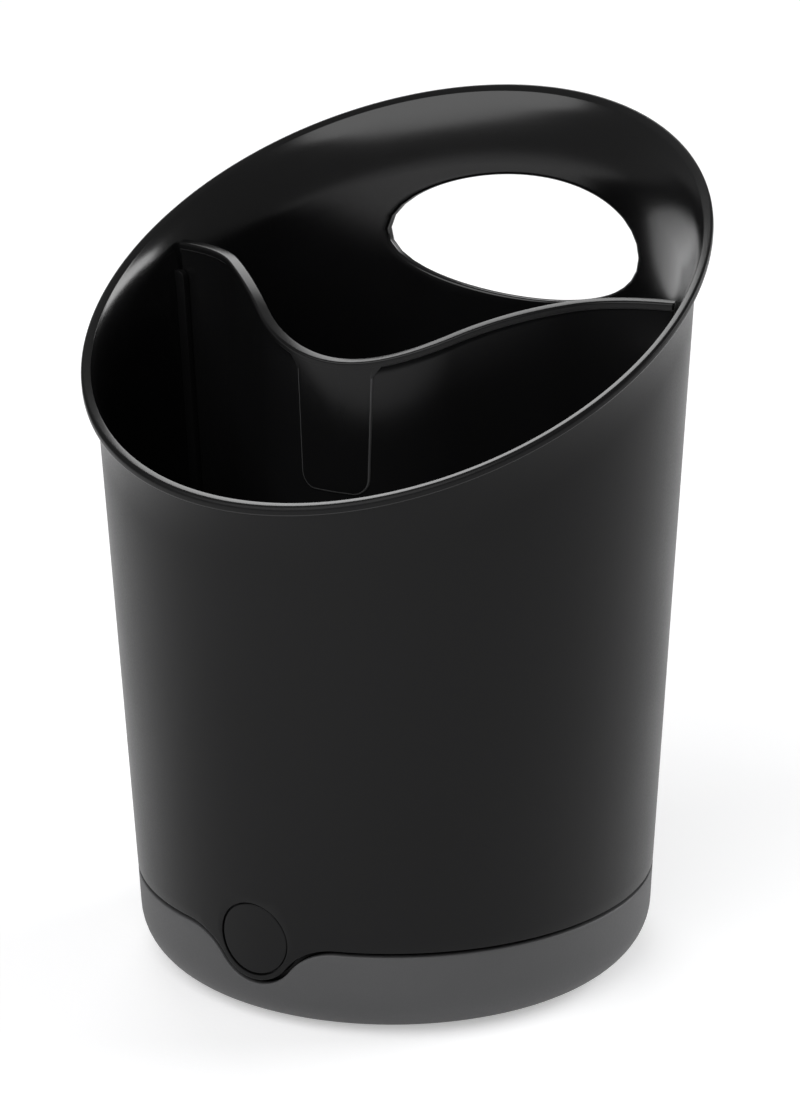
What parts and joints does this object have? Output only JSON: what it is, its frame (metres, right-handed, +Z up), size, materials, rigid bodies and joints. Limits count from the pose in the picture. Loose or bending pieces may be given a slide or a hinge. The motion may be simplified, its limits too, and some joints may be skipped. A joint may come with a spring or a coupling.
{
  "type": "cutlery dispenser",
  "caption": "Round countertop cutlery holder and drainer: tapered cup with a slanted flared rim and a hand hole, a bowed lift-out divider, and a drip tray underneath.",
  "frame": {"origin": "on the table, under the middle of the round drip tray", "axes": "+Z up, +Y towards the high back with the hand hole, so the low front with the medallion faces -Y and +X is to the right seen from the front"},
  "size_m": [0.1426, 0.135, 0.1906],
  "materials": {
    "cup": "black polypropylene, satin outside and shinier inside",
    "divider": "black polypropylene, satin",
    "medallion": "black polypropylene, satin",
    "drip_tray": "dark grey polypropylene, matte"
  },
  "bodies": {
    "tray": {"drip_tray": "drip_tray"},
    "cup": {"cup": "cup", "medallion": "medallion"},
    "divider": {"divider": "divider"}
  },
  "joints": [
    {"name": "cup_lift", "type": "slide", "parent": "tray", "child": "cup", "axis": [0, 0, 1], "range_m": [0, 0.03]},
    {"name": "divider_lift", "type": "slide", "parent": "cup", "child": "divider", "axis": [0, 0, 1], "range_m": [0, 0.16]}
  ]
}
